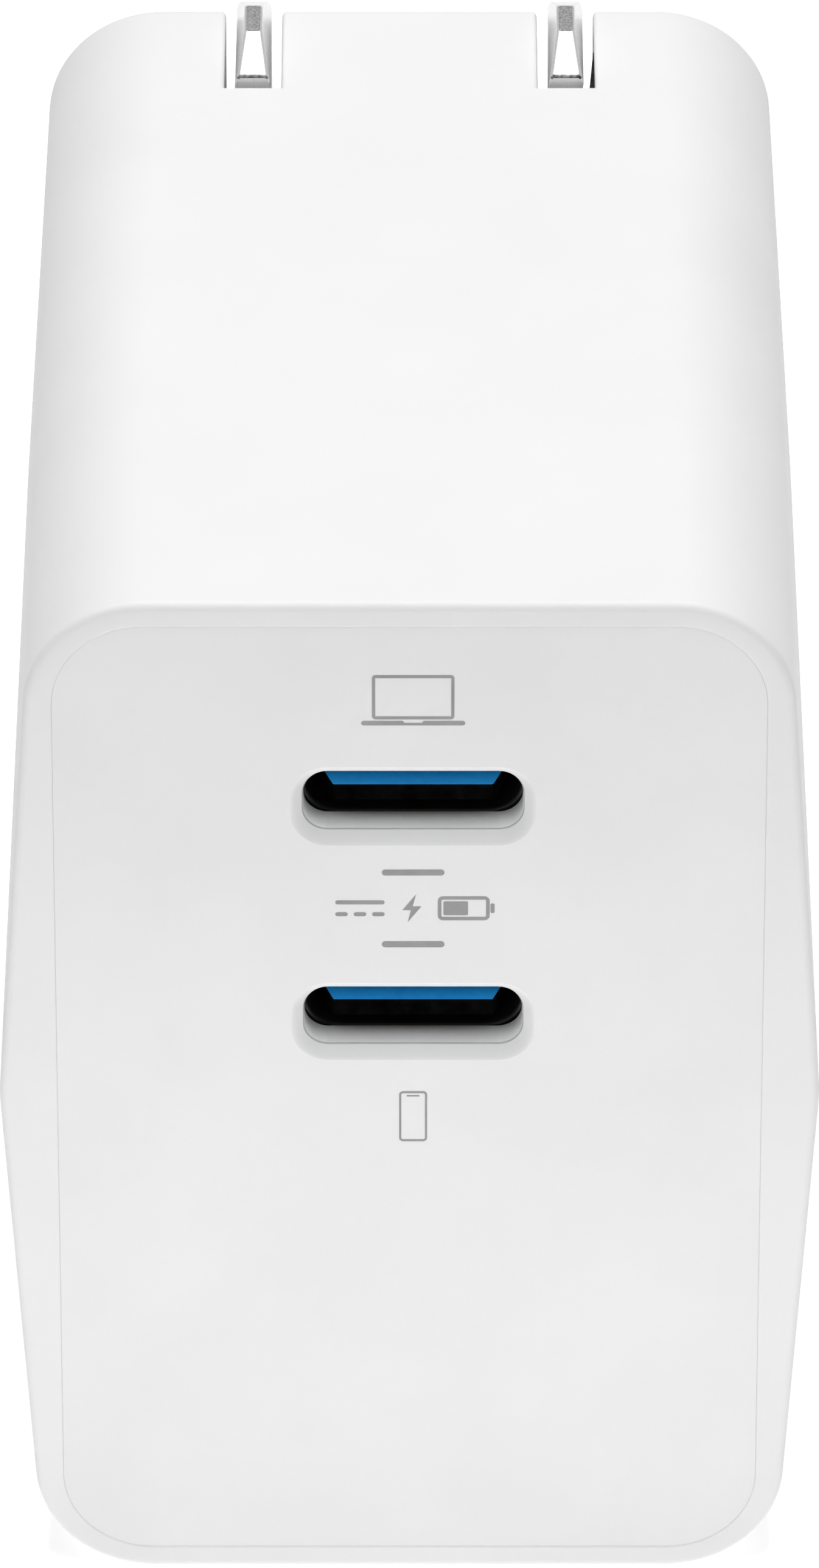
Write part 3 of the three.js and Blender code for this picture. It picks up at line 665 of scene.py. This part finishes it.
def plug_blade(side):
    """Bevelled blade with a sheared flat end and a burr at the foot of its front ramp."""
    x = side * BLADE_X
    half = (BLADE_HIGH.x - BLADE_LOW.x) / 2
    plate = prism_x(blade_side(), x - half, x + half)
    top = BLADE_HIGH.z
    shoulder = top - TIP["side_rise"]
    narrow = half - TIP["side_run"]
    across = [
        (-half - 1, BLADE_LOW.z - 1), (half + 1, BLADE_LOW.z - 1),
        (half + 1, shoulder - TIP["side_rise"]), (half, shoulder), (narrow, top),
        (-narrow, top), (-half, shoulder), (-half - 1, shoulder - TIP["side_rise"]),
    ]
    sides = prism([(x + u, z) for u, z in across], BLADE_LOW.y - 1, BLADE_HIGH.y + 1)
    blade = combined(plate, sides, "INTERSECT")
    soften(blade, TIP["edge"], segments=4, angle=15,
           chosen=lambda edge: min(v.co.z for v in edge.verts) > shoulder - 0.5)
    soften(blade, 0.05, segments=2, angle=40)
    ramp_foot = top - TIP["ramp_rise"]
    for face in blade.faces:
        middle = face.calc_center_median()
        if face.normal.z > 0.98 and middle.z > top - 0.05:
            face.material_index = 1
        front_edge = middle.y < BLADE_LOW.y + 0.2 and abs(middle.z - ramp_foot) < 0.12
        if front_edge and -0.97 < face.normal.y < -0.5:
            face.material_index = 2
    return blade


def slot_painted_shadow():
    """Painted shadow: a near-black strip on the outer wall of the right slot, at the slot's front, where that wall
    lies in shade.
    """
    x = BLADE_X + SLOT_HALF
    front, back = SLOT_FRONT_Y + SLOT_SHADOW_SIZES["start"], SLOT_FRONT_Y + SLOT_SHADOW_SIZES["reach"]
    outer = x + SLOT_SHADOW_SIZES["sunk"]
    outline = [(x - SLOT_SHADOW_SIZES["front_lip"], front), (outer, front), (outer, back),
               (x - SLOT_SHADOW_SIZES["back_lip"], back)]
    return prism_z(outline, HEIGHT - SLOT_SHADOW_SIZES["depth"], HEIGHT - SLOT_SHADOW_SIZES["top"])


def plug_barrel():
    """Round bar with two flats, on a shaft, with a socket for each blade's root."""
    radius = PIVOT.y - CARRIER_LOW.y
    flat = CARRIER_HIGH.y - PIVOT.y
    half = math.acos(flat / radius)
    quarter = math.pi / 2
    outline = arc((PIVOT.y, PIVOT.z), radius, half, quarter - half, 8)
    outline += arc((PIVOT.y, PIVOT.z), radius, quarter + half, 4 * quarter - half, 44)
    bar = prism_x(outline, -BARREL_HALF, BARREL_HALF)
    soften(bar, 0.15, segments=3, angle=60)
    shaft_outline = arc((PIVOT.y, PIVOT.z), SHAFT_RADIUS, 0, 2 * math.pi * 31 / 32, 31)
    shaft = prism_x(shaft_outline, CARRIER_LOW.x, CARRIER_HIGH.x)
    soften(shaft, 0.1, segments=2, angle=60)
    bar = combined(bar, shaft, "UNION")
    thick = (BLADE_HIGH.x - BLADE_LOW.x) / 2 + BLADE_SOCKET["clearance"]
    deep, tall = BLADE_SOCKET["half_depth"], BLADE_SOCKET["half_height"]
    sockets = [
        slab(x - thick, x + thick, PIVOT.y - deep, PIVOT.y + deep, PIVOT.z - tall, PIVOT.z + tall)
        for x in (-BLADE_X, BLADE_X)
    ]
    return cut(bar, *sockets)


# ---------- Printed pictograms ----------
PRINT_BACK = PANEL_Y + 0.01
PRINT_FRONT = PANEL_Y - 0.012
PRINT_X = socket_centre("upper")[0]


def printed(outline, hole=None):
    """A flat mark on the panel, or a frame where it has a hole with as many points."""
    if hole is None:
        return prism(outline, PRINT_FRONT, PRINT_BACK)
    rings = [(PRINT_FRONT, outline), (PRINT_BACK, outline), (PRINT_BACK, hole), (PRINT_FRONT, hole)]
    return loft(rings, closed=True)


def print_frame(shape, x, z):
    width, height, radius, line = (shape[key] for key in ("width", "height", "radius", "line"))
    outer = rounded_box(width, height, radius, x, z)
    inner = rounded_box(width - 2 * line, height - 2 * line, max(radius - line, 0.02), x, z)
    return printed(outer, inner)


def print_bar(width, height, x, z):
    return printed(rounded_box(width, height, height / 2 - 0.001, x, z))


def laptop_mark():
    """A screen over a thin rounded base with a notch for opening the lid."""
    radius, z = KEYBOARD["radius"], KEYBOARD["z"]
    end = arc((KEYBOARD["half"] - radius, z), radius, -math.pi / 2, math.pi / 2, 6)
    notch = [(x, z + rise) for x, rise in KEYBOARD["notch"]]
    base = end + notch + [(-x, up) for x, up in reversed(notch)]
    base += [(-x, 2 * z - up) for x, up in end]
    return joined([
        print_frame(SCREEN, PRINT_X, SCREEN["z"]),
        printed([(PRINT_X + x, up) for x, up in base]),
    ])


def phone_mark():
    return joined([
        print_frame(PHONE, PRINT_X, PHONE["z"]),
        print_bar(EARPIECE["width"], EARPIECE["height"], PRINT_X, EARPIECE["z"]),
    ])


def power_marks():
    """Two bars, with a direct-current sign, a bolt and a battery between them."""
    x, z = PRINT_X, SIGNS_Z
    parts = [print_bar(bar["width"], bar["height"], x, bar["z"]) for bar in (UPPER_BAR, LOWER_BAR)]
    sign_x, line, rise = x + DC_SIGN["x"], DC_SIGN["line"], DC_SIGN["rise"]
    parts.append(print_bar(DC_SIGN["width"], line, sign_x, z + rise))
    for k in (-1, 0, 1):
        parts.append(print_bar(DC_SIGN["dash"], line, sign_x + DC_SIGN["pitch"] * k, z - rise))
    parts.append(printed([(x + BOLT_X + u, z + v) for u, v in BOLT]))
    parts.append(print_frame(BATTERY, x + BATTERY["x"], z))
    for block in (BATTERY_CAP, BATTERY_CHARGE):
        outline = rounded_box(block["width"], block["height"], CHARGE_RADIUS, x + block["x"], z)
        parts.append(printed(outline))
    return joined(parts)


# ---------- Assembly ----------
add_piece("case_shell", case_shell(), CASE_WHITE, "charger_body", ["main_housing"])
# The panel's second material is painted light on the hole walls
add_piece("socket_panel", socket_panel(), [PANEL_WHITE, OPENING_PAINTED_LIGHT], "charger_body",
          ["front_panel"])
for level in LEVELS:
    # The shell's near-black colour is painted shade
    add_piece("socket_shell_" + level, socket_shell(level), SHELL_PAINTED_SHADE, "charger_body",
              ["usb_shell_" + level])
    add_piece("socket_tongue_" + level, socket_tongue(level), [TONGUE_BLACK, TONGUE_BLUE],
              "charger_body", ["usb_tongue_" + level])
    add_piece("socket_contacts_" + level, contact_row(level), GOLD, "charger_body")
for name, side in (("left", -1), ("right", 1)):
    add_piece("plug_blade_" + name, plug_blade(side), [NICKEL, SHEARED_NICKEL, BURR_NICKEL],
              "folding_plug", ["prong_blade_" + name], sharp=25)
add_piece("plug_barrel", plug_barrel(), BARREL_WHITE, "folding_plug",
          ["prong_carrier"])
# Painted shadow in the right slot
add_piece("slot_painted_shadow", slot_painted_shadow(), SLOT_SHADOW_BLACK, "charger_body")
add_piece("laptop_mark", laptop_mark(), PRINT_GREY, "charger_body")
add_piece("power_marks", power_marks(), PRINT_GREY, "charger_body")
add_piece("phone_mark", phone_mark(), PRINT_GREY, "charger_body")

# ---------- Inner parts, which keep their CAD shapes ----------
INNER = {
    "black_plastic": moulded("inner_black", grey(0.02), grey(0.045)),
    "stamped_steel": metal("stamped_steel", (0.55, 0.56, 0.58), (0.66, 0.67, 0.7)),
    "spring_bronze": metal("spring_bronze", (0.55, 0.36, 0.16), (0.7, 0.48, 0.25)),
    "circuit_board": moulded("solder_mask", (0.01, 0.09, 0.03), (0.03, 0.16, 0.06),
                             rough=(0.25, 0.4), grain_mm=0.3, patch_mm=1.2),
    "ferrite": moulded("ferrite_grey", grey(0.03), grey(0.07), rough=(0.6, 0.8), grain_mm=0.2),
    "enamel_wire": metal("enamel_wire", (0.4, 0.13, 0.04), (0.62, 0.26, 0.1), stretch=(8, 8, 1),
                         streak_mm=0.25, streak_depth=0.05, metallic=0.7),
    "winding_tape": moulded("winding_tape", (0.7, 0.48, 0.05), (0.85, 0.62, 0.1),
                            rough=(0.3, 0.45), grain_mm=0.4, patch_mm=2.5),
    "can_sleeve": moulded("can_sleeve", grey(0.015), grey(0.035), rough=(0.3, 0.4)),
    "can_aluminium": metal("can_aluminium", grey(0.6), grey(0.72), stretch=(1, 10, 1)),
    "film_box": moulded("film_box", (0.65, 0.48, 0.05), (0.8, 0.6, 0.08), rough=(0.3, 0.45)),
    "disc_coating": moulded("disc_coating", (0.02, 0.1, 0.4), (0.04, 0.16, 0.52)),
    "thermistor_coating": moulded("thermistor_coating", (0.03, 0.12, 0.04), (0.06, 0.2, 0.08)),
    "chip_black": moulded("chip_black", grey(0.012), grey(0.03), grain_mm=0.08),
    "heat_aluminium": metal("heat_aluminium", grey(0.55), grey(0.68), stretch=(1, 10, 1)),
    "insulation_film": moulded("insulation_film", grey(0.03), grey(0.06), rough=(0.3, 0.5)),
    "silicone_pad": moulded("silicone_pad", (0.22, 0.27, 0.33), (0.32, 0.38, 0.44),
                            rough=(0.7, 0.9), grain_mm=0.3),
    "lead_insulation": moulded("lead_insulation", grey(0.6), grey(0.68)),
}


def dress_inner_parts():
    for part in frame["record"]["subparts"]:
        node = frame["nodes"][part["node"]]
        if node.hide_render or part["material_slot"] not in INNER:
            continue
        node.data.materials.clear()
        node.data.materials.append(INNER[part["material_slot"]].material)


dress_inner_parts()


# ---------- Floor, light and camera ----------
def add_floor():
    bm = bmesh.new()
    bmesh.ops.create_grid(bm, x_segments=1, y_segments=1, size=FLOOR_SIZE)
    mesh = bpy.data.meshes.new("floor")
    bm.to_mesh(mesh)
    bm.free()
    s = moulded("floor_white", grey(0.8), grey(0.82), rough=(0.7, 0.9), grain_mm=0.6,
                grain_depth=0.002, patch_mm=60, specular=0.2)
    s.shader.inputs["Emission Color"].default_value = (1, 1, 1, 1)
    s.shader.inputs["Emission Strength"].default_value = FLOOR_GLOW
    mesh.materials.append(s.material)
    floor = bpy.data.objects.new("floor", mesh)
    floor.location.z = -FLOOR_DROP * MM
    bpy.context.scene.collection.objects.link(floor)


def add_softbox(name, place, target, size, watts):
    """An area light at place that faces target, all in millimetres."""
    light = bpy.data.lights.new(name, "AREA")
    light.shape = "RECTANGLE"
    light.size, light.size_y = size[0] * MM, size[1] * MM
    light.energy = watts
    obj = bpy.data.objects.new(name, light)
    obj.location = Vector(place) * MM
    aim = Vector(target) - Vector(place)
    obj.rotation_euler = aim.to_track_quat("-Z", "Y").to_euler()
    bpy.context.scene.collection.objects.link(obj)


def add_lights():
    world = bpy.data.worlds.new("studio")
    world.use_nodes = True
    background = world.node_tree.nodes["Background"]
    background.inputs["Color"].default_value = (1, 1, 1, 1)
    background.inputs["Strength"].default_value = SKY_STRENGTH
    bpy.context.scene.world = world
    object_middle = (0, 0, 20)
    add_softbox("top_softbox", (0, 20, 400), object_middle, (120, 500), 1.8)
    add_softbox("front_top_softbox", (0, -220, 420), object_middle, (300, 300), 0.14)
    add_softbox("front_left_softbox", (-150, -400, 230), object_middle, (200, 200), 0.145)
    add_softbox("left_softbox", (-300, 0, 120), object_middle, (200, 200), 0.03)
    add_softbox("right_softbox", (300, 0, 120), object_middle, (200, 200), 0.08)
    add_softbox("front_low_softbox", (0, FRONT_Y - 45, 6), (0, FRONT_Y, 6), (70, 10), 0.0059)


def add_camera():
    camera = bpy.data.cameras.new("view_camera")
    camera.sensor_width = 36
    camera.lens = CAMERA_LENS
    camera.clip_start = 0.01
    camera.clip_end = 20
    obj = bpy.data.objects.new("view_camera", camera)
    obj.location = Vector((0, FRONT_Y - CAMERA_BACK, MID_Z + CAMERA_RISE)) * MM
    obj.rotation_euler = (math.radians(CAMERA_TILT), 0, 0)
    bpy.context.scene.collection.objects.link(obj)
    bpy.context.scene.camera = obj


add_floor()
add_lights()
add_camera()
bpy.context.scene.view_settings.view_transform = "Standard"
